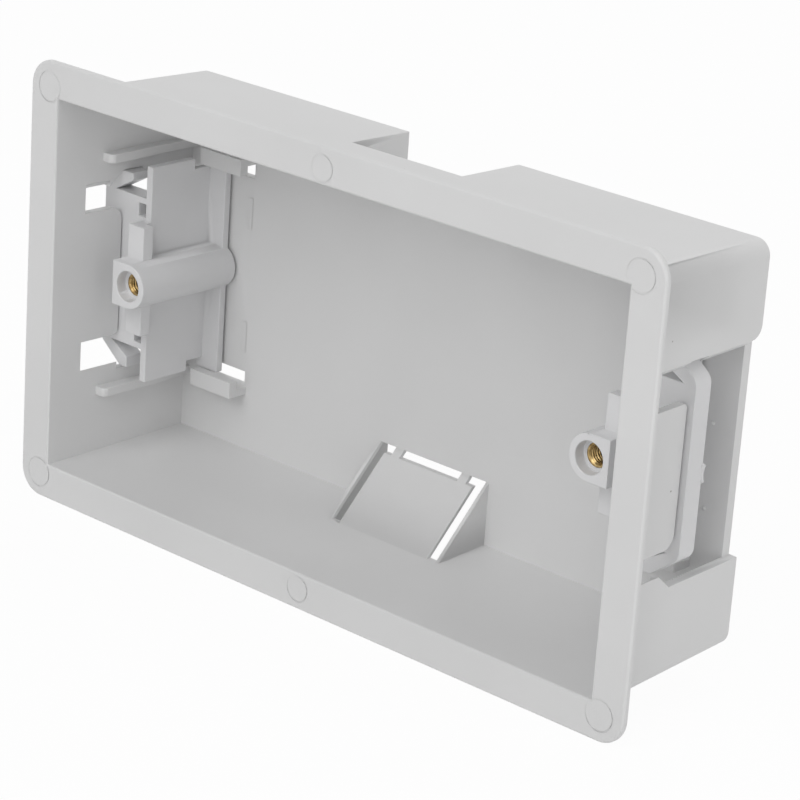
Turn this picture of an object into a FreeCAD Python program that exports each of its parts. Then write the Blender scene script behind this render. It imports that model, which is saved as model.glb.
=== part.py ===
import FreeCAD, Part
import math
import os

# Drywall (dry-lining) back box for a two-gang plate, in millimetres.
# X runs along the width, Y into the wall and Z up. The origin is at the middle of the
# flange's rear face, which is the face that lies on the wall.

V = FreeCAD.Vector

# Flange that covers the edge of the hole in the wall: how far it reaches past the end walls and past
# the top and bottom walls, and its own shape
flange_end_lip = 5.25
flange_side_lip = 5.0
flange_thickness = 1.1
flange_corner = 5.0
flange_edge_round = 0.5
opening_edge_break = 0.3

# Box behind the flange: outer size at the wall surface, drawn in towards the back. Its width follows
# from the screw spacing and the room between a screw's axis and the outside of the end wall
end_room = 6.45
body_height = 73.0
body_depth = 34.4
body_corner = 5.0
body_draft = 0.9
wall = 1.7
back_wall = 2.0

# Room around the lugs: on faces that slide, behind the foot, up and down in their guides, and
# round the insert
slide_clearance = 0.3
foot_clearance = 0.6
lug_play = 0.95
press_clearance = 0.02

# Where the lugs stand: the screw spacing of a two-gang plate when they are out, how far they
# are pushed in from there, and how far they sit above the middle in their play
fixing_spacing = 120.6
left_lug_retraction = 5.1
right_lug_retraction = 7.2
lug_lift = 0.65

# Lug: web, foot and the screw boss with its pads
web_height = 41.5
web_thickness = 1.5
foot_thickness = 1.5
foot_reach = 2.0
notch_room = 1.6
boss_radius = 4.2
boss_front = 8.3
counterbore_diameter = 5.7
counterbore_depth = 2.2
screw_hole_diameter = 3.8
screw_hole_depth = 19.0
pad_width = 4.1
pad_half = 10.4
pad_lead = 3.7
pad_thickness = 2.4

# Lug: wing that grips behind the board, with a springy arm at its top and bottom
wing_reach = 14.4
wing_thickness = 4.0
wing_plate_half = 14.6
wing_corner_round = 1.2
arm_half = 18.3
arm_bend = 9.7
arm_end = 7.2
arm_tip = 1.2
arm_root = 11.6
core_pocket_start = 10.9
core_pocket_width = 1.8
core_pocket_height = 2.5
core_pocket_depth = 3.0

# Brass insert for an M3.5 screw
insert_diameter = 4.2
insert_length = 8.0
insert_bore = 2.9
insert_chamfer = 0.35

# Openings in the end walls, wider at the outer face than at the inner face, with the tongue that
# stays between the two windows and the step that narrows one of them
opening_inner_half = 17.85
opening_outer_half = 19.2
window_front = 6.4
window_step = 1.25
window_step_end = 12.1
tongue_reach = 15.3
tongue_height = 24.8
tongue_top_corner = 1.0
tongue_low_corner = 2.5
end_corner = 2.3

# Rails on the end walls, hooks and stop ribs on the back wall. The hooks and ribs lie this far in from
# the axis of a screw whose lug is right out
rail_front = 10.3
rail_width = 1.7
rail_stand = 1.8
rail_end_round = 1.2
hook_inset = 13.0
hook_length = 10.5
hook_leg = 1.5
lip_thickness = 2.0
lip_reach = 1.7
core_hole_reach = 1.2
core_hole_inset = 0.5
stop_rib_inset = 12.0
stop_rib_width = 1.0
stop_rib_length = 6.0
stop_rib_height = 0.25
stop_rib_spacing = 24.0

# Cable entries in the middle of the top and bottom walls
entry_width = 25.2
entry_run = 12.2
entry_panel = 0.8
entry_cheek = 0.7
entry_side_slot = 2.0
entry_end_slot = 1.3
bridge_width = 2.0
bridge_spacing = 15.8

# How far a cutting shape runs past the faces that it cuts, and how near counts as the same place
over = 3.0
near = 0.000001

# Sizes and places that follow from the sizes above
body_width = fixing_spacing + 2 * end_room
flange_width = body_width + 2 * flange_end_lip
flange_height = body_height + 2 * flange_side_lip
cavity_rear = body_depth - back_wall
back_middle = body_depth - back_wall / 2
fixing_half = fixing_spacing / 2
hook_start = fixing_half - hook_inset
stop_rib_place = fixing_half - stop_rib_inset
web_half = web_height / 2
guide_half = web_half + lug_play
wing_slot_half = arm_half + lug_play
step_half = opening_inner_half - window_step
wing_front = tongue_reach + slide_clearance
wing_rear = wing_front + wing_thickness
wing_slot_rear = wing_rear + slide_clearance
foot_rear = cavity_rear - foot_clearance
foot_front = foot_rear - foot_thickness
lip_rear = foot_front - slide_clearance
lip_front = lip_rear - lip_thickness
lip_edge = guide_half - lip_reach
insert_front = boss_front + counterbore_depth


def half_width(y):
    """Half of the body's outer width at depth y."""
    return body_width / 2 - body_draft * y / body_depth


def half_height(y):
    """Half of the body's outer height at depth y."""
    return body_height / 2 - body_draft * y / body_depth


def end_wall_inside(y):
    """Distance of an end wall's inner face from the middle at depth y."""
    return half_width(y) - wall


# When a lug is right out, its boss is close to the tongue and its web close to the end wall
boss_flat = end_wall_inside(wing_front) - slide_clearance - fixing_half
web_outer = end_wall_inside(cavity_rear) - slide_clearance - fixing_half
web_inner = web_outer - web_thickness


def block(x0, x1, y0, y1, z0, z1):
    """Straight block between two corners."""
    return Part.makeBox(x1 - x0, y1 - y0, z1 - z0, V(x0, y0, z0))


def flat(points):
    """Face with straight sides through the points."""
    return Part.Face(Part.makePolygon(points + points[:1]))


def across(outline, x0, x1):
    """Prism of an outline of (y, z) points, from x0 to x1."""
    return flat([V(x0, y, z) for y, z in outline]).extrude(V(x1 - x0, 0, 0))


def along(outline, y0, y1):
    """Prism of an outline of (x, z) points, from y0 to y1."""
    return flat([V(x, y0, z) for x, z in outline]).extrude(V(0, y1 - y0, 0))


def rod(diameter, y0, y1):
    """Round rod along Y on the screw's axis."""
    return Part.makeCylinder(diameter / 2, y1 - y0, V(0, y0, 0), V(0, 1, 0))


def quarter(start, centre, end):
    """Quarter circle from start to end about a centre."""
    spread = (start - centre) + (end - centre)
    middle = centre + spread.normalize() * (start - centre).Length
    return Part.Arc(start, middle, end).toShape()


def rounded_wire(half_x, half_z, corner, y):
    """Rectangle with round corners, standing at depth y."""
    arcs = []
    for sx, sz in ((1, 1), (-1, 1), (-1, -1), (1, -1)):
        centre = V(sx * (half_x - corner), y, sz * (half_z - corner))
        side = V(sx * half_x, y, centre.z)
        top = V(centre.x, y, sz * half_z)
        arcs.append(quarter(side, centre, top) if sx * sz > 0 else quarter(top, centre, side))
    edges = []
    for arc, after in zip(arcs, arcs[1:] + arcs[:1]):
        edges.append(arc)
        edges.append(Part.makeLine(arc.Vertexes[-1].Point, after.Vertexes[0].Point))
    return Part.Wire(edges)


def square_wire(half_x, half_z, y):
    """Rectangle with sharp corners, standing at depth y."""
    corners = [V(sx * half_x, y, sz * half_z) for sx, sz in ((1, 1), (-1, 1), (-1, -1), (1, -1))]
    return Part.makePolygon(corners + corners[:1])


def tapered(front, back):
    """Solid with straight sides between two outlines."""
    return Part.makeLoft([front, back], True, True)


def other_end(shape):
    """The same shape at the other end of the box."""
    return shape.mirror(V(0, 0, 0), V(1, 0, 0))


def half_turn(shape):
    """The shape at the other end and upside down, turned about the middle of the box."""
    return shape.rotated(V(0, 0, 0), V(0, 1, 0), 180)


def both_ends(shapes):
    """Shapes at the right end and their mirror images at the left end."""
    return shapes + [other_end(shape) for shape in shapes]


def top_and_bottom(shape):
    """A shape above the middle height and its mirror image below."""
    return [shape, shape.mirror(V(0, 0, 0), V(0, 0, 1))]


def edges_at(shape, **place):
    """Edges whose middle has the given x, y or z."""
    found = []
    for edge in shape.Edges:
        middle = edge.CenterOfMass
        if all(abs(getattr(middle, axis) - value) < near for axis, value in place.items()):
            found.append(edge)
    return found


def make_flange():
    """Plate with round corners and a soft front edge."""
    outline = Part.Face(rounded_wire(flange_width / 2, flange_height / 2, flange_corner, 0))
    plate = outline.extrude(V(0, -flange_thickness, 0))
    return plate.makeFillet(flange_edge_round, edges_at(plate, y=-flange_thickness))


def make_shell():
    """Drafted walls behind the flange, round-cornered outside and sharp inside, open in front."""
    outside = tapered(
        rounded_wire(half_width(0), half_height(0), body_corner, 0),
        rounded_wire(half_width(body_depth), half_height(body_depth), body_corner, body_depth),
    )
    mouth = -flange_thickness
    inside = tapered(
        square_wire(end_wall_inside(mouth), half_height(mouth) - wall, mouth),
        square_wire(end_wall_inside(cavity_rear), half_height(cavity_rear) - wall, cavity_rear),
    )
    soft = opening_edge_break
    edge = tapered(
        square_wire(end_wall_inside(mouth) + soft, half_height(mouth) - wall + soft, mouth),
        square_wire(end_wall_inside(mouth) - soft, half_height(mouth) - wall - soft, mouth + 2 * soft),
    )
    return make_flange().fuse(outside).cut([inside, edge])


def end_outline():
    """Outline of the right end's cutter: a window on each side of the tongue, joined behind it."""
    inner = end_wall_inside(cavity_rear)
    half = tongue_height / 2
    far = body_depth + over
    bend = body_depth - end_corner
    corner_top = opening_outer_half + end_corner

    def at(y, z):
        return V(inner, y, z)

    top_turn = tongue_reach - tongue_top_corner
    low_turn = tongue_reach - tongue_low_corner
    upper = [at(top_turn, half), at(window_front, half), at(window_front, opening_inner_half)]
    upper += [at(tongue_reach, opening_inner_half), at(tongue_reach, wing_slot_half)]
    upper += [at(wing_slot_rear, wing_slot_half), at(wing_slot_rear, opening_inner_half)]
    upper += [at(bend, opening_inner_half), at(bend, opening_outer_half)]
    lower = [at(body_depth, corner_top), at(far, corner_top), at(far, -opening_inner_half)]
    lower += [at(wing_slot_rear, -opening_inner_half), at(wing_slot_rear, -wing_slot_half)]
    lower += [at(tongue_reach, -wing_slot_half), at(window_step_end, -step_half)]
    lower += [at(window_front, -step_half), at(window_front, -half), at(low_turn, -half)]
    tip_low = at(tongue_reach, -half + tongue_low_corner)
    tip_high = at(tongue_reach, half - tongue_top_corner)
    edges = Part.makePolygon(upper).Edges
    edges.append(quarter(upper[-1], at(bend, corner_top), lower[0]))
    edges += Part.makePolygon(lower).Edges
    edges.append(quarter(lower[-1], at(low_turn, -half + tongue_low_corner), tip_low))
    edges.append(Part.makeLine(tip_low, tip_high))
    edges.append(quarter(tip_high, at(top_turn, half - tongue_top_corner), upper[0]))
    return Part.Wire(edges)


def inner_edge(y, z):
    """Point on the inner face of the right end wall."""
    return V(end_wall_inside(y), y, z)


def outer_edge(y, z):
    """Point on the outer face of the right end wall."""
    return V(half_width(y), y, z)


def slope(y0, y1, narrow_edge, narrow_z, wide_edge, wide_z):
    """Wedge between two depths that widens the opening from one face of the end wall to the other."""

    def section(y):
        narrow = narrow_edge(y, narrow_z)
        wide = narrow + (wide_edge(y, wide_z) - narrow) * 2
        return Part.makePolygon([narrow, wide, V(wide.x, y, narrow.z), narrow])

    return tapered(section(y0), section(y1))


def make_end_opening():
    """Cutters for the right end wall: the opening, and the slopes along its edges."""
    far = body_depth + over
    reach = half_width(0) - end_wall_inside(cavity_rear) + over
    opening = Part.Face(end_outline()).extrude(V(reach, 0, 0))
    top = slope(window_front, far, inner_edge, opening_inner_half, outer_edge, opening_outer_half)
    bottom = slope(tongue_reach, far, inner_edge, -opening_inner_half, outer_edge, -opening_outer_half)
    step = slope(window_front, window_step_end, outer_edge, -step_half, inner_edge, -opening_inner_half)
    return [opening, top, bottom, step]


def make_rail():
    """Rail on an end wall beside the web's edge, with a round front end."""
    inner = end_wall_inside(cavity_rear) - rail_stand
    outer = half_width(cavity_rear) - wall / 2
    rail = block(inner, outer, rail_front, back_middle, guide_half, guide_half + rail_width)
    return rail.makeFillet(rail_end_round, edges_at(rail, x=inner, y=rail_front))


def make_hook():
    """Hook on the back wall: a leg with a lip that reaches over the end of the lug's foot."""
    leg_outer = guide_half + hook_leg
    outline = [
        (lip_front, lip_edge),
        (lip_front, leg_outer),
        (back_middle, leg_outer),
        (back_middle, guide_half),
        (lip_rear, guide_half),
        (lip_rear, lip_edge),
    ]
    return across(outline, hook_start, hook_start + hook_length)


def make_core_hole():
    """Hole through the back wall under a lip, left by the tool that forms the lip."""
    start = hook_start + core_hole_inset
    end = hook_start + hook_length
    low = lip_edge - core_hole_reach
    return block(start, end, lip_rear, body_depth + over, low, guide_half)


def make_stop_rib():
    """Low rib on the back wall in front of which the foot stops when the lug is pushed in."""
    middle = stop_rib_spacing / 2
    return block(
        stop_rib_place - stop_rib_width / 2,
        stop_rib_place + stop_rib_width / 2,
        cavity_rear - stop_rib_height,
        back_middle,
        middle - stop_rib_length / 2,
        middle + stop_rib_length / 2,
    )


# The cable entry's slope falls at 45 degrees from here, inside the top wall, to the back wall
entry_y = cavity_rear - entry_run
entry_z = half_height(entry_y) - wall


def make_entry_wedge():
    """Wedge that the cable entry makes inside the box, in the top wall."""
    reach = entry_width / 2 + entry_cheek
    top = half_height(body_depth) - wall / 2
    run = back_middle - entry_y
    outline = [(entry_y - (top - entry_z), top), (back_middle, entry_z - run), (back_middle, top)]
    return across(outline, -reach, reach)


def make_entry_recess():
    """Space outside the cable entry's sloping panel, open at the top and at the back."""
    slope_y = entry_y + entry_panel * math.sqrt(2.0)
    top = half_height(0) + over
    rear = body_depth + over
    outline = [(slope_y - (top - entry_z), top), (rear, entry_z - (rear - slope_y)), (rear, top)]
    return across(outline, -entry_width / 2, entry_width / 2)


def make_entry_slots():
    """Slots that free the knock-out flap, apart from its root and two small bridges."""
    half = entry_width / 2
    low = entry_z - entry_run
    high = low + entry_end_slot
    rear = body_depth + over
    side = block(half - entry_side_slot, half, entry_y, rear, low, entry_z)
    end = block(-half, half, entry_y, rear, low, high)
    bridge_middle = bridge_spacing / 2
    bridge_start = bridge_middle - bridge_width / 2
    bridge = block(bridge_start, bridge_start + bridge_width, entry_y, rear, low, high)
    return [side, other_end(side), end.cut(both_ends([bridge]))]


def make_body():
    """The box: shell, end openings, what guides the lugs, and the cable entries."""
    right_end = make_end_opening()
    body = make_shell().cut(right_end + [half_turn(cutter) for cutter in right_end])
    guides = top_and_bottom(make_rail()) + top_and_bottom(make_hook()) + top_and_bottom(make_stop_rib())
    body = body.fuse(both_ends(guides) + top_and_bottom(make_entry_wedge()))
    body = body.cut(both_ends(top_and_bottom(make_core_hole())))
    body = body.cut(top_and_bottom(make_entry_recess()))
    slots = [cut for slot in make_entry_slots() for cut in top_and_bottom(slot)]
    return body.cut(slots).removeSplitter()


def make_boss():
    """D-shaped boss round the screw, with its flat side outwards."""
    start = V(0, boss_front, boss_radius)
    end = V(0, boss_front, -boss_radius)
    nose = Part.Arc(end, V(-boss_radius, boss_front, 0), start).toShape()
    sides = [start, V(boss_flat, boss_front, boss_radius), V(boss_flat, boss_front, -boss_radius), end]
    outline = Part.Face(Part.Wire([nose] + Part.makePolygon(sides).Edges))
    return outline.extrude(V(0, foot_rear - boss_front, 0))


def make_boss_bores():
    """Counterbore, seat of the insert and the hole that the screw's end runs into."""
    seat_end = insert_front + insert_length
    mouth = rod(counterbore_diameter, boss_front - over, insert_front)
    seat = rod(insert_diameter + 2 * press_clearance, insert_front, seat_end)
    run = rod(screw_hole_diameter, seat_end, boss_front + screw_hole_depth)
    return [mouth, seat, run]


def make_web():
    """Upright plate from the wing back to the foot, notched so that it passes the hooks' lips."""
    notch_low = lip_edge - lug_play - slide_clearance
    web = block(web_inner, web_outer, wing_front, foot_rear, -web_half, web_half)
    notch = block(web_inner, web_outer, lip_front - notch_room, foot_front, notch_low, web_half)
    return web.cut(top_and_bottom(notch))


def make_wing():
    """Wing with a springy arm at its top and bottom, cut from one outline."""
    upper = [
        (web_inner, wing_plate_half),
        (arm_root, wing_plate_half),
        (arm_end, arm_half - arm_tip),
        (arm_end, arm_half),
        (arm_bend, arm_half),
        (wing_reach, wing_plate_half),
    ]
    lower = [(x, -z) for x, z in reversed(upper)]
    wing = along(upper + lower, wing_front, wing_rear)
    middle = (wing_front + wing_rear) / 2
    corners = []
    for side in (wing_plate_half, -wing_plate_half):
        corners += edges_at(wing, x=wing_reach, y=middle, z=side)
    wing = wing.makeFillet(wing_corner_round, corners)
    pocket = block(
        web_outer,
        web_outer + core_pocket_width,
        wing_front,
        wing_front + core_pocket_depth,
        core_pocket_start,
        core_pocket_start + core_pocket_height,
    )
    return wing.cut(top_and_bottom(pocket))


def make_pads():
    """Pads above and below the boss, one L-shaped bar that stands on the web's front edge."""
    inner = boss_flat - pad_width
    front = wing_front - pad_lead
    outline = [
        (inner, front),
        (boss_flat, front),
        (boss_flat, wing_front),
        (web_inner, wing_front),
        (web_inner, front + pad_thickness),
        (inner, front + pad_thickness),
    ]
    return flat([V(x, y, -pad_half) for x, y in outline]).extrude(V(0, 0, 2 * pad_half))


def make_lug():
    """Lug of the right end, with its screw on x = 0 and the wing towards +X."""
    foot = block(-foot_reach, web_outer, foot_front, foot_rear, -web_half, web_half)
    lug = make_boss().fuse([make_web(), foot, make_pads(), make_wing()])
    return lug.cut(make_boss_bores()).removeSplitter()


def make_insert():
    """Brass bush with a chamfered mouth, its bore at the thread's inner diameter."""
    rear = insert_front + insert_length
    bush = rod(insert_diameter, insert_front, rear).cut(rod(insert_bore, insert_front, rear))
    bore = insert_bore / 2
    lead_in = Part.makeCone(bore + insert_chamfer, bore, insert_chamfer, V(0, insert_front, 0), V(0, 1, 0))
    return bush.cut(lead_in)


os.makedirs("parts", exist_ok=True)
right_place = V(fixing_half - right_lug_retraction, 0, lug_lift)
left_place = V(left_lug_retraction - fixing_half, 0, lug_lift)
lug = make_lug()
insert = make_insert()
nodes = {
    "box_body": make_body(),
    "left_lug": other_end(lug).translated(left_place),
    "right_lug": lug.translated(right_place),
    "left_insert": other_end(insert).translated(left_place),
    "right_insert": insert.translated(right_place),
}
for name, shape in nodes.items():
    print(name, len(shape.Solids), "solid", round(shape.Volume, 1), "mm3 valid", shape.isValid())
    shape.Solids[0].exportStep("parts/%s.step" % name)
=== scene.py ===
# %% [markdown]
# # A back box for plasterboard walls
# The box is a thin white moulding that sits in a hole in the wall. A lug slides in each end of it and
# carries a brass bush for the screw of a faceplate. The frame holds every piece at its real size, so
# this lesson only adds what the eye wants: a few rounder or tighter corners, soft edges, marks of the
# mould, a real thread, finishes, light and a camera.

import math

import bmesh
import bpy
from mathutils import Matrix, Quaternion, Vector


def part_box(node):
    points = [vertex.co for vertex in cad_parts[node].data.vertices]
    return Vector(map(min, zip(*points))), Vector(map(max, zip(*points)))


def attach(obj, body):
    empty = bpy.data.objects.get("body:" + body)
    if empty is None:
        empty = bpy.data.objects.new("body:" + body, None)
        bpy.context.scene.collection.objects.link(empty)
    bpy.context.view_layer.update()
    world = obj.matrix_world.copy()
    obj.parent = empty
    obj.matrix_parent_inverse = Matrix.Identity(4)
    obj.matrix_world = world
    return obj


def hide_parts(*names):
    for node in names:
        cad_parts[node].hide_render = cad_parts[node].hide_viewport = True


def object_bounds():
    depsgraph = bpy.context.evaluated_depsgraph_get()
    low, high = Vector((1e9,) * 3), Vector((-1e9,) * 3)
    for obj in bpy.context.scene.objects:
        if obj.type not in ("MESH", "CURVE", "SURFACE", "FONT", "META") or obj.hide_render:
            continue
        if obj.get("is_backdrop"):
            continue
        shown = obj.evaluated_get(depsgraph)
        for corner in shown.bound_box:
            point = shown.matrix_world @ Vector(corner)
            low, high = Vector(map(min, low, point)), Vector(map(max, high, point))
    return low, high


MM = 0.001
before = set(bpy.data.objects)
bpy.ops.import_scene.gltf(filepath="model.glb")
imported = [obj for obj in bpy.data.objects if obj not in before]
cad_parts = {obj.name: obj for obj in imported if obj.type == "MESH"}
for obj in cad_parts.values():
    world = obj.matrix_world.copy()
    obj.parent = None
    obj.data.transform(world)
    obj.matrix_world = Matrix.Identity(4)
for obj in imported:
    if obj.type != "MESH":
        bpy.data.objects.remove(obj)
cad_low, cad_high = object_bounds()
print("pieces", sorted(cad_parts), "size in mm", [round(v / MM, 1) for v in cad_high - cad_low])

# %% [markdown]
# ## Colours and nodes
# Paint charts and photographs give colours in sRGB, but a shader works with linear light, so one function
# turns a hex value into linear light. Another adds a node with its settings and links. A material can
# then be read as a list of what it is made of.

# %% Linear light


def linear(hex_colour):
    """Linear colour of an sRGB hex value."""
    channels = [int(hex_colour[i:i + 2], 16) / 255 for i in (1, 3, 5)]
    bent = [c / 12.92 if c <= 0.04045 else ((c + 0.055) / 1.055) ** 2.4 for c in channels]
    return (*bent, 1.0)


print("half-way grey in linear light", round(linear("#808080")[0], 3))

# %% Nodes


def add(tree, kind, settings, inputs):
    """A new node: its settings, and its inputs by name or number, each a value or a socket to link from."""
    node = tree.nodes.new(kind)
    for name, value in settings.items():
        setattr(node, name, value)
    for key, value in inputs.items():
        if isinstance(value, bpy.types.NodeSocket):
            tree.links.new(value, node.inputs[key])
        else:
            node.inputs[key].default_value = value
    return node


def new_material(name):
    """An empty node material and its tree."""
    material = bpy.data.materials.new(name)
    material.use_nodes = True
    material.node_tree.nodes.clear()
    return material, material.node_tree


def per_metre(size_mm):
    """Texture scale that gives a pattern this size."""
    return 1 / (size_mm * MM)


print("a pattern of 1 mm repeats", round(per_metre(1.0)), "times in a metre")

# %% [markdown]
# ## Moulded plastic
# The box is polypropylene and the lugs are polyamide, which is a little bluer and smoother. Both came
# out of a steel tool whose faces were eroded with sparks, and that leaves a fine, even grain which
# spreads the highlights. The tone changes slowly where the melt flowed together, and here and there a
# speck of burnt dust is caught in the skin. All three are patterns in the piece's own space, so they
# keep their real size and need no unwrapping.

# %% Patterns in the skin of a moulding
flow_mm = 30.0
speck_spacing_mm = 9.0
speck_radius_mm = 0.2
speck_share = 0.5
flow_low, flow_high = 0.3, 0.7  # the noise seldom leaves this range


def flow_tone(tree, flow, tones):
    """Tone that goes slowly from one colour to another."""
    ends = {"Value": flow, "From Min": flow_low, "From Max": flow_high}
    share = add(tree, "ShaderNodeMapRange", {}, ends)
    mixed = {"Factor": share.outputs["Result"], "A": linear(tones[0]), "B": linear(tones[1])}
    return add(tree, "ShaderNodeMix", {"data_type": "RGBA"}, mixed).outputs["Result"]


def specks(tree, place):
    """One in a speck, falling to zero at its edge: a small ball in some of the cells of a loose grid."""
    cells = add(tree, "ShaderNodeTexVoronoi", {}, {"Vector": place, "Scale": per_metre(speck_spacing_mm)})
    radius = speck_radius_mm / speck_spacing_mm
    fade = {"Value": cells.outputs["Distance"], "From Min": radius, "From Max": radius / 2}
    ball = add(tree, "ShaderNodeMapRange", {}, fade)
    draw = add(tree, "ShaderNodeSeparateColor", {}, {"Color": cells.outputs["Color"]})
    pick = {0: draw.outputs["Red"], 1: speck_share}
    chosen = add(tree, "ShaderNodeMath", {"operation": "LESS_THAN"}, pick)
    both = {0: ball.outputs["Result"], 1: chosen.outputs["Value"]}
    return add(tree, "ShaderNodeMath", {"operation": "MULTIPLY"}, both).outputs["Value"]


print("specks of", 2 * speck_radius_mm, "mm in cells of", speck_spacing_mm, "mm")

# %% Finish of the mouldings
gloss_swing = 0.05
grain_mm = 0.4  # the real grain is about 0.05 mm, finer than a pixel, so it is drawn coarser
grain_depth_mm = 0.004


def moulded_plastic(name, tones, speck, roughness, ior):
    """Satin plastic with slow tones, a fine grain and stray specks."""
    material, tree = new_material(name)
    place = add(tree, "ShaderNodeTexCoord", {}, {}).outputs["Object"]
    slow = {"Vector": place, "Scale": per_metre(flow_mm), "Detail": 2.0}
    flow = add(tree, "ShaderNodeTexNoise", {}, slow).outputs["Fac"]
    skin = {"Factor": specks(tree, place), "A": flow_tone(tree, flow, tones), "B": linear(speck)}
    colour = add(tree, "ShaderNodeMix", {"data_type": "RGBA"}, skin)
    swing = {"Value": flow, "To Min": roughness - gloss_swing, "To Max": roughness + gloss_swing}
    gloss = add(tree, "ShaderNodeMapRange", {}, swing)
    fine = {"Vector": place, "Scale": per_metre(grain_mm), "Detail": 1.0}
    grain = add(tree, "ShaderNodeTexNoise", {}, fine)
    bump = {"Height": grain.outputs["Fac"], "Distance": grain_depth_mm * MM}
    look = {
        "Base Color": colour.outputs["Result"],
        "Roughness": gloss.outputs["Result"],
        "IOR": ior,
        "Normal": add(tree, "ShaderNodeBump", {}, bump).outputs["Normal"],
    }
    shader = add(tree, "ShaderNodeBsdfPrincipled", {}, look)
    add(tree, "ShaderNodeOutputMaterial", {}, {"Surface": shader.outputs["BSDF"]})
    return material


# Spark erosion gives the box soft, wide highlights and an almost matt white
body_look = {"tones": ("#DCDCDC", "#E0E0E0"), "speck": "#8E8880", "roughness": 0.45, "ior": 1.49}
body_finish = moulded_plastic("spark-eroded polypropylene", **body_look)
# A finer spark finish gives the lugs a slightly tighter sheen and a cooler white
lug_look = {"tones": ("#DBDBDC", "#DFDFE0"), "speck": "#9A96A0", "roughness": 0.40, "ior": 1.53}
lug_finish = moulded_plastic("fine-eroded polyamide", **lug_look)
print("plastics:", body_finish.name, "and", lug_finish.name)

# %% [markdown]
# ## Turned brass
# The bushes were turned from brass bar and then tapped. A metal keeps the default IOR and takes its
# colour from what it reflects. The tool left fine rings round the axis, so a wave along the axis breaks
# up the gloss, and a little tarnish darkens the metal in places.

# %% Finish of the bushes
tarnish_mm = 0.8
tool_ring_mm = 0.12


def turned_brass(name, tones, roughness_range):
    """Bright turned metal with tool rings and a little tarnish."""
    material, tree = new_material(name)
    place = add(tree, "ShaderNodeTexCoord", {}, {}).outputs["Object"]
    cloud = {"Vector": place, "Scale": per_metre(tarnish_mm), "Detail": 3.0}
    tarnish = add(tree, "ShaderNodeTexNoise", {}, cloud).outputs["Fac"]
    bands = {"Vector": place, "Scale": per_metre(tool_ring_mm) / math.tau, "Distortion": 1.0}
    rings = add(tree, "ShaderNodeTexWave", {"wave_type": "BANDS", "bands_direction": "Y"}, bands)
    low, high = roughness_range
    swing = {"Value": rings.outputs["Fac"], "To Min": low, "To Max": high}
    look = {
        "Base Color": flow_tone(tree, tarnish, tones),
        "Metallic": 1.0,
        "Roughness": add(tree, "ShaderNodeMapRange", {}, swing).outputs["Result"],
    }
    shader = add(tree, "ShaderNodeBsdfPrincipled", {}, look)
    add(tree, "ShaderNodeOutputMaterial", {}, {"Surface": shader.outputs["BSDF"]})
    return material


# Turning leaves rings that stretch each highlight into a short bright streak
brass_look = {"tones": ("#7C6238", "#C0A878"), "roughness_range": (0.24, 0.38)}
brass_finish = turned_brass("turned brass", **brass_look)
finishes = {"body_plastic": body_finish, "lug_plastic": lug_finish, "insert_brass": brass_finish}
print("metal:", brass_finish.name)

# %% [markdown]
# ## Soft edges
# A mould has no perfectly sharp edges, and the thin light line along an edge is much of what makes
# plastic look like plastic. A bevel modifier could do it, but the frame's meshes are split along every
# edge. So each moulding is copied, its points are joined and its flat faces are made whole first.

# %% Whole copies of the mouldings
join_mm = 0.001
flat_turn = math.radians(0.5)


def whole_copy(node):
    """A mesh of a frame's node with its points joined and its flat faces whole."""
    mesh = bmesh.new()
    mesh.from_mesh(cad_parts[node].data)
    bmesh.ops.remove_doubles(mesh, verts=mesh.verts, dist=join_mm * MM)
    bmesh.ops.dissolve_limit(mesh, angle_limit=flat_turn, verts=mesh.verts, edges=mesh.edges)
    print(node, len(mesh.faces), "whole faces")
    return mesh


body_mesh = whole_copy("box_body")
left_mesh = whole_copy("left_lug")
right_mesh = whole_copy("right_lug")

# %% [markdown]
# ## Corners of the box
# On the real box the outer corners that run along its depth are tighter than in the frame. A new bevel
# would need a sharp corner to start from, so each point of such a corner moves along its own spoke to a
# smaller arc, and the flat faces beside it only grow. Behind the slot for the wing, the lower edge of the
# right opening is also as low as the slot itself.

# %% Tighter corners
# Outside of the walls behind the flange, their depth, and how far their draft brings them in
half_width_mm, half_height_mm = 66.75, 36.5
box_depth_mm, draft_mm = 34.4, 0.9
corner_mm, tight_corner_mm = 5.0, 2.8
touch_mm = 0.02


def tighten_corners(mesh):
    """Move the points of the four outer corners from one arc to a smaller one."""
    moved = 0
    for point in mesh.verts:
        x, y, z = point.co / MM
        inset = draft_mm * y / box_depth_mm
        centre_x, centre_z = half_width_mm - inset - corner_mm, half_height_mm - inset - corner_mm
        spoke = Vector((abs(x) - centre_x, abs(z) - centre_z))
        on_corner = min(spoke) > -touch_mm and y > -touch_mm
        if on_corner and abs(spoke.length - corner_mm) < touch_mm:
            reach = corner_mm - tight_corner_mm
            spoke *= tight_corner_mm / corner_mm
            point.co.x = math.copysign(centre_x + reach + spoke.x, x) * MM
            point.co.z = math.copysign(centre_z + reach + spoke.y, z) * MM
            moved += 1
    return moved


print("corner points moved:", tighten_corners(body_mesh))

# %% A lower edge
# Depth of the slot's rear side, and heights of the opening's edge and of the slot
slot_rear_mm, edge_mm, slot_mm = 19.9, -17.85, -19.25


def lower_edge(mesh):
    """Move the right opening's lower edge behind the slot to the level of the slot."""
    moved = 0
    for point in mesh.verts:
        x, y, z = point.co / MM
        behind = x > half_width_mm - corner_mm and y > slot_rear_mm - touch_mm
        if behind and slot_mm - touch_mm < z < edge_mm + touch_mm:
            point.co.z = slot_mm * MM
            moved += 1
    bmesh.ops.remove_doubles(mesh, verts=mesh.verts, dist=join_mm * MM)
    bmesh.ops.dissolve_limit(mesh, angle_limit=flat_turn, verts=mesh.verts, edges=mesh.edges)
    return moved


print("edge points moved:", lower_edge(body_mesh))

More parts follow.
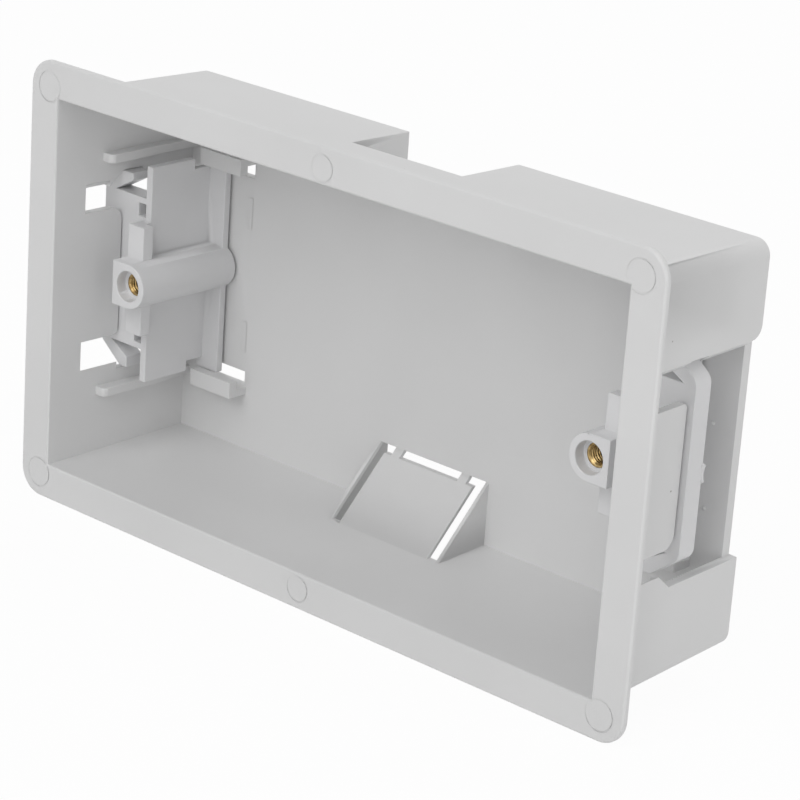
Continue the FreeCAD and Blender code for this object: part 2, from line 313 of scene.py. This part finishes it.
# %% [markdown]
# ## Arms of the wings
# The wing of a lug has a springy arm above and below. On the real lugs the wing's corners are rounder than
# in the frame and the lower arm reaches further down. Only a few points differ, and they can be found by
# their place, so the points of each corner and of each arm's end move a little. They stay clear of the
# slots in the end walls when the lug slides out.

# %% Rounder wings
# Outwards from the screw's axis: the wing's edge, the root of an arm, its bend and its end
wing_reach_mm, root_mm, bend_mm, tip_mm = 14.4, 11.6, 9.7, 7.2
# Up or down from the axis in the frame: the end of the wing's straight edge, and of an arm
wing_end_mm, frame_arm_mm = 14.017, 18.3
frame_round_mm, wing_round_mm = 1.2, 2.4
# Half height, place of the bend and end of the straight edge, for the upper and the lower arm
upper_arm_mm = (18.5, 10.6, 14.34)
lower_arm_mm = (19.2, 9.0, 13.79)


def round_wing(mesh, axis, outwards):
    """Move the points of a wing's corners to rounder arcs, and the ends of its arms along with them."""
    growth = wing_round_mm / frame_round_mm
    for point in mesh.verts:
        along = (point.co.x - axis.x) * outwards / MM
        up = (point.co.z - axis.z) / MM
        on_corner = along > root_mm + touch_mm and abs(up) > wing_end_mm - touch_mm
        on_end = along > tip_mm - touch_mm and abs(up) > frame_arm_mm - touch_mm
        half, bend, end = upper_arm_mm if up > 0 else lower_arm_mm
        if on_corner:
            height = end + growth * (abs(up) - wing_end_mm)
            along = wing_reach_mm - wing_round_mm + growth * (along - wing_reach_mm + frame_round_mm)
        elif on_end:
            height = half
            along = bend if along > bend_mm - touch_mm else along
        else:
            continue
        point.co.x = axis.x + along * outwards * MM
        point.co.z = axis.z + math.copysign(height, up) * MM


for mesh, node, outwards in ((left_mesh, "left_insert", -1), (right_mesh, "right_insert", 1)):
    low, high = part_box(node)
    round_wing(mesh, (low + high) / 2, outwards)
    print("wing beside", node, "now has corners of", wing_round_mm, "mm")

# %% [markdown]
# ## Rounds
# Now the sharp outer edges are rounded, less on the box than on the lugs, because its slots must stay
# narrow. The bevel works on a list of edges, so those beside very narrow faces can stay as they are.

# %% Round the edges
sharp_turn = math.radians(35)
room_per_radius = 2.5
body_round_mm, lug_round_mm = 0.12, 0.2


def has_room(edge, radius):
    """Are the faces beside an edge wide enough for a round of this size?"""
    widths = [face.calc_area() / edge.calc_length() for face in edge.link_faces]
    return min(widths) > room_per_radius * radius


def round_edges(mesh, radius_mm):
    """Round the sharp outer edges that have room for it."""
    radius = radius_mm * MM
    sharp = [edge for edge in mesh.edges if edge.is_convex and edge.calc_face_angle(0) > sharp_turn]
    edges = [edge for edge in sharp if has_room(edge, radius)]
    options = {"offset_type": "OFFSET", "segments": 2, "profile": 0.5, "affect": "EDGES"}
    bmesh.ops.bevel(mesh, geom=edges, offset=radius, loop_slide=True, clamp_overlap=False, **options)
    print(len(edges), "edges rounded to", radius_mm, "mm")


round_edges(body_mesh, body_round_mm)
round_edges(left_mesh, lug_round_mm)
round_edges(right_mesh, lug_round_mm)

# %% [markdown]
# ## Marks of the ejector pins
# Six round pins push the box out of its tool. Where the skin meets the edge of a pin it leaves a ring,
# deeper on one side because no pin ends quite level with the tool. A bump map could hint at them, but
# shallow grooves cut into the flange with a boolean catch light and shade by themselves.

# %% Rings and skins of points


def ring(mesh, centre, across, up, radii):
    """Points round a centre, one for each radius, in the plane of two directions."""
    turns = [math.tau * i / len(radii) for i in range(len(radii))]
    spokes = [across * math.cos(turn) + up * math.sin(turn) for turn in turns]
    return [mesh.verts.new(centre + spoke * radius) for spoke, radius in zip(spokes, radii)]


def skin_between(mesh, rings):
    """Faces from each ring of points to the next."""
    for before, after in zip(rings, rings[1:]):
        for i, point in enumerate(before):
            mesh.faces.new((before[i - 1], point, after[i], after[i - 1]))


def to_object(mesh, name, finish):
    """A new smooth-shaded object from a mesh."""
    data = bpy.data.meshes.new(name)
    mesh.to_mesh(data)
    mesh.free()
    data.materials.append(finish)
    data.shade_smooth()
    piece = bpy.data.objects.new(name, data)
    bpy.context.scene.collection.objects.link(piece)
    return piece


print("helpers for shapes made of rings are ready")

# %% Cutters for the rings
groove_width_mm = 0.3
groove_depth_mm = 0.1
cutter_rise_mm = 1.0
pin_lean = math.radians(1.3)
ring_points = 64
# Middle of each ring across and up, its radius in mm, and the side on which it is deepest in degrees
pin_marks = [
    (-67.1, 36.8, 2.6, 50),
    (0.0, 37.7, 2.2, 170),
    (67.1, 36.8, 2.6, 200),
    (-67.1, -36.8, 2.6, 190),
    (0.0, -37.7, 2.2, 135),
    (67.1, -36.8, 2.6, 140),
]


def ring_cutter(mesh, x_mm, z_mm, radius_mm, deep_side):
    """A ring that leans into the flange towards its deep side."""
    deep = math.radians(deep_side)
    hinge = Vector((-math.sin(deep), 0, math.cos(deep)))
    lean = Matrix.Rotation(-pin_lean, 3, hinge)
    across, inwards, up = lean @ Vector((1, 0, 0)), lean @ Vector((0, 1, 0)), lean @ Vector((0, 0, 1))
    middle = Vector((x_mm * MM, cad_low.y, z_mm * MM))
    front = middle - inwards * cutter_rise_mm * MM
    back = middle + inwards * groove_depth_mm * MM
    inner = [radius_mm * MM] * ring_points
    outer = [(radius_mm + groove_width_mm) * MM] * ring_points
    sides = [(front, inner), (front, outer), (back, outer), (back, inner)]
    rings = [ring(mesh, centre, across, up, radii) for centre, radii in sides]
    skin_between(mesh, rings + rings[:1])


cutter = bmesh.new()
for mark in pin_marks:
    ring_cutter(cutter, *mark)
bmesh.ops.recalc_face_normals(cutter, faces=cutter.faces)
print(len(pin_marks), "ring cutters with", len(cutter.faces), "faces")

# %% Cut the rings into the flange


def cut(mesh, cutter):
    """The mesh without the room that the cutter takes up."""
    whole = to_object(mesh, "uncut", body_finish)
    tool = to_object(cutter, "cutter", body_finish)
    step = whole.modifiers.new("cut", "BOOLEAN")
    step.operation = "DIFFERENCE"
    step.solver = "EXACT"
    step.object = tool
    result = bmesh.new()
    result.from_object(whole, bpy.context.evaluated_depsgraph_get())
    bmesh.ops.dissolve_limit(result, angle_limit=flat_turn, verts=result.verts, edges=result.edges)
    for piece in (whole, tool):
        bpy.data.objects.remove(piece)
    return result


before = len(body_mesh.faces)
body_mesh = cut(body_mesh, cutter)
print("ejector rings add", len(body_mesh.faces) - before, "faces")

# %% [markdown]
# ## Mouldings in place
# Each copy takes the place of its node and rides on the same moving body. Smooth shading alone would
# bend the light on the flat faces. A weighted normal modifier keeps them flat, so that only the rounds
# between them are shaded smooth, as on a clean moulding.

# %% Put the mouldings in place
corner_turn = math.radians(50)


def seat(piece, node, body, slot):
    """The piece stands for a frame's node and rides on its body."""
    piece.data.set_sharp_from_angle(angle=corner_turn)
    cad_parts[node].data.materials.clear()
    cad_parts[node].data.materials.append(finishes[slot])
    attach(piece, body)
    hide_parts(node)


mouldings = [
    (body_mesh, "moulded_box", "box_body", "box", "body_plastic"),
    (left_mesh, "moulded_left_lug", "left_lug", "left_slider", "lug_plastic"),
    (right_mesh, "moulded_right_lug", "right_lug", "right_slider", "lug_plastic"),
]
for mesh, name, node, body, slot in mouldings:
    piece = to_object(mesh, name, finishes[slot])
    seat(piece, node, body, slot)
    keep_flat = piece.modifiers.new("flat faces", "WEIGHTED_NORMAL")
    keep_flat.keep_sharp = True
    print(name, len(piece.data.polygons), "faces")

# %% [markdown]
# ## The tapped bushes
# The frame has a plain bore at the thread's inner diameter. A real M3.5 thread is a spiral groove with a
# pitch of 0.6 mm, and it is the groove that makes the brass glitter. The bore's wall is a grid of points
# round and along the axis, and each point moves outwards where the spiral passes, so there is no cutter.

# %% Thread
bore_mm = 2.9
pitch_mm = 0.6
thread_depth_mm = 0.3
groove_share = 0.76
mouth_chamfer_mm = 0.35
points_around = 48


def wall_radii(depth_mm):
    """Radii round the bore's wall at this depth: the spiral groove, or the chamfer of the mouth."""
    chamfer = max(0.0, mouth_chamfer_mm - depth_mm)
    radii = []
    for i in range(points_around):
        phase = (depth_mm / pitch_mm + i / points_around) % 1.0
        groove = max(0.0, 1.0 - abs(phase - 0.5) / (groove_share / 2)) * thread_depth_mm
        radii.append((bore_mm / 2 + max(chamfer, groove)) * MM)
    return radii


print("thread groove", round(groove_share * pitch_mm, 2), "mm wide and", thread_depth_mm, "mm deep")

# %% Bushes
rows_per_turn = 8


def tapped_bush(node, name, body):
    """Brass bush with a threaded bore, in place of a frame's node."""
    low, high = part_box(node)
    axis = (low + high) / 2
    length_mm = (high.y - low.y) / MM
    rows = round(length_mm / pitch_mm * rows_per_turn)
    outside = [(high.x - low.x) / 2] * points_around
    levels = [(0.0, outside)]
    for row in range(rows + 1):
        depth_mm = length_mm * row / rows
        levels.append((depth_mm, wall_radii(depth_mm)))
    levels.append((length_mm, outside))
    mesh = bmesh.new()
    rings = []
    for depth_mm, radii in levels:
        centre = Vector((axis.x, low.y + depth_mm * MM, axis.z))
        rings.append(ring(mesh, centre, Vector((1, 0, 0)), Vector((0, 0, 1)), radii))
    skin_between(mesh, rings + rings[:1])
    bmesh.ops.recalc_face_normals(mesh, faces=mesh.faces)
    piece = to_object(mesh, name, brass_finish)
    seat(piece, node, body, "insert_brass")
    print(name, len(piece.data.polygons), "faces,", round(length_mm / pitch_mm, 1), "turns of thread")


tapped_bush("left_insert", "left_tapped_bush", "left_slider")
tapped_bush("right_insert", "right_tapped_bush", "right_slider")

# %% [markdown]
# ## Flash and crumbs
# Plastic that crept between the halves of the tool left a lumpy bit of flash on the rear edge of the
# right wing, and two crumbs of it cling to the back wall near that end. They could be sculpted, but such
# small lumps need few points: the flash is a row of uneven rings round the edge, closed at both ends, and
# a crumb is a flattened ball.

# %% Flash on the right wing
flash_edge_mm = (67.45, 19.6)  # across the box and into the wall
flash_points = 8
# Height along the edge and thickness there, in mm
flash_lumps = [
    (-2.0, 0.05),
    (-1.7, 0.42),
    (-1.1, 0.3),
    (-0.3, 0.24),
    (0.5, 0.34),
    (1.2, 0.5),
    (1.55, 0.05),
]

mesh = bmesh.new()
rings = []
for z_mm, thickness_mm in flash_lumps:
    centre = Vector((*flash_edge_mm, z_mm)) * MM
    radii = [thickness_mm * MM] * flash_points
    rings.append(ring(mesh, centre, Vector((1, 0, 0)), Vector((0, 1, 0)), radii))
skin_between(mesh, rings)
for end in (rings[0], rings[-1]):
    mesh.faces.new(end)
bmesh.ops.recalc_face_normals(mesh, faces=mesh.faces)
flash = to_object(mesh, "flash_on_wing", lug_finish)
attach(flash, "right_slider")
print("flash of", len(flash.data.polygons), "faces")

# %% Crumbs on the back wall
crumb_radius_mm = 0.42
crumb_height_mm = 0.35
back_wall_mm = 32.4
crumb_places_mm = [(59.56, 3.06), (59.57, -12.0)]

for number, (x_mm, z_mm) in enumerate(crumb_places_mm, start=1):
    mesh = bmesh.new()
    bmesh.ops.create_icosphere(mesh, subdivisions=2, radius=crumb_radius_mm * MM)
    bmesh.ops.scale(mesh, verts=mesh.verts, vec=(1, crumb_height_mm / crumb_radius_mm, 1))
    bmesh.ops.translate(mesh, verts=mesh.verts, vec=Vector((x_mm, back_wall_mm, z_mm)) * MM)
    crumb = to_object(mesh, f"crumb_{number}", body_finish)
    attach(crumb, "box")
    print(crumb.name, len(crumb.data.polygons), "faces")

# %% [markdown]
# ## Floor and world
# The ground of the picture is white. More light would make it so, but would burn out the box as well. So
# rays that look straight at the floor or the world, from the camera, in a reflection or through glass,
# find plain white. All other light finds ordinary white paper, which throws it up into the box, and an
# even sky. The box is then lit at a plain level and still leaves a faint shadow.

# %% Rays that look at the ground


def looked_at(tree):
    """One for a ray that looks straight at the ground, else zero."""
    path = add(tree, "ShaderNodeLightPath", {}, {}).outputs
    near = {0: path["Is Camera Ray"], 1: path["Is Glossy Ray"]}
    seen = add(tree, "ShaderNodeMath", {"operation": "ADD"}, near).outputs["Value"]
    every = {0: seen, 1: path["Is Transmission Ray"]}
    return add(tree, "ShaderNodeMath", {"operation": "ADD", "use_clamp": True}, every).outputs["Value"]


print("three kinds of ray see the ground as white")

# %% White floor
floor_half_m = 3.0
paper_tone = "#F0F0F0"
whiteness = 0.96


def paper_floor(level):
    """Large floor that the camera sees as white, with a faint shadow."""
    material, tree = new_material("matt white paper")
    share = add(tree, "ShaderNodeMath", {"operation": "MULTIPLY"}, {0: looked_at(tree), 1: whiteness})
    paper = add(tree, "ShaderNodeBsdfDiffuse", {}, {"Color": linear(paper_tone)})
    white = add(tree, "ShaderNodeEmission", {}, {"Color": linear("#FFFFFF"), "Strength": 1.0})
    blend = {0: share.outputs["Value"], 1: paper.outputs["BSDF"], 2: white.outputs["Emission"]}
    mixed = add(tree, "ShaderNodeMixShader", {}, blend)
    add(tree, "ShaderNodeOutputMaterial", {}, {"Surface": mixed.outputs["Shader"]})
    mesh = bmesh.new()
    bmesh.ops.create_grid(mesh, x_segments=1, y_segments=1, size=floor_half_m)
    floor = to_object(mesh, "floor", material)
    floor.location.z = level
    floor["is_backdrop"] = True


paper_floor(cad_low.z)
print("floor at", round(cad_low.z / MM, 1), "mm")

# %% White world
sky_strength = 0.32


def white_world(strength):
    """Even light from all round, which the camera sees as white."""
    world = bpy.data.worlds.new("white studio")
    bpy.context.scene.world = world
    world.use_nodes = True
    tree = world.node_tree
    tree.nodes.clear()
    sky = add(tree, "ShaderNodeBackground", {}, {"Color": linear("#FFFFFF"), "Strength": strength})
    white = add(tree, "ShaderNodeBackground", {}, {"Color": linear("#FFFFFF"), "Strength": 1.0})
    blend = {0: looked_at(tree), 1: sky.outputs["Background"], 2: white.outputs["Background"]}
    mixed = add(tree, "ShaderNodeMixShader", {}, blend)
    add(tree, "ShaderNodeOutputWorld", {}, {"Surface": mixed.outputs["Shader"]})


white_world(sky_strength)
print("sky of strength", sky_strength)

# %% [markdown]
# ## Lamps
# Small lamps would throw hard shadows, so large soft boxes stand behind, in front and to the right, as in
# a small product studio. Together they give about the level at which a colour renders as it is written,
# and the faces turned from them stay grey.

# %% Soft boxes
aim = Vector((11.2, 9.5, -2.0)) * MM
lamp_distance_m, lamp_size_m = 1.2, 0.9
# Azimuth and elevation in degrees, and watts
soft_boxes = {
    "rear overhead box": (200, 55, 2.7),
    "front box": (5, 45, 5.4),
    "low fill": (26, 6, 2.6),
    "right box": (95, 20, 3.0),
}


def direction(azimuth, elevation):
    """Unit vector from the object towards a place at this azimuth and elevation in degrees."""
    a, e = math.radians(azimuth), math.radians(elevation)
    return Vector((math.sin(a) * math.cos(e), -math.cos(a) * math.cos(e), math.sin(e)))


for name, (azimuth, elevation, watts) in soft_boxes.items():
    lamp = bpy.data.lights.new(name, "AREA")
    lamp.shape = "SQUARE"
    lamp.size = lamp_size_m
    lamp.energy = watts
    holder = bpy.data.objects.new(name, lamp)
    bpy.context.scene.collection.objects.link(holder)
    towards = direction(azimuth, elevation)
    holder.location = aim + towards * lamp_distance_m
    holder.rotation_euler = towards.to_track_quat("Z", "Y").to_euler()
print("lamps", list(soft_boxes), "give", round(sum(box[-1] for box in soft_boxes.values()), 2), "W")

# %% [markdown]
# ## Camera
# A long lens looks from the right and a little above, as for a catalogue picture. It is turned slightly
# about its own line of sight, so the box seems to lean.

# %% Camera
lens_mm = 141.1
sensor_mm = 36.0
camera_azimuth, camera_elevation = 41.08, 19.89
camera_distance_m = 0.530
camera_roll = math.radians(4.0)
view_back = direction(camera_azimuth, camera_elevation)

camera = bpy.data.objects.new("camera", bpy.data.cameras.new("camera"))
bpy.context.scene.collection.objects.link(camera)
camera.data.lens = lens_mm
camera.data.sensor_width = sensor_mm
camera.location = aim + view_back * camera_distance_m
camera.rotation_mode = "QUATERNION"
camera.rotation_quaternion = (-view_back).to_track_quat("-Z", "Y") @ Quaternion((0, 0, 1), camera_roll)
bpy.context.scene.camera = camera
bpy.context.scene.view_settings.view_transform = "Standard"
print("camera at", [round(v / MM, 1) for v in camera.location], "mm")

# %% [markdown]
# ## Sizes
# The dressed scene is measured and its size printed at the end, beside the frame's size printed at the
# start. The dressed box must stay within the frame's box.

# %% Measure the sizes and finish
low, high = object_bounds()
print("visual size in mm", [round(v / MM, 1) for v in high - low])
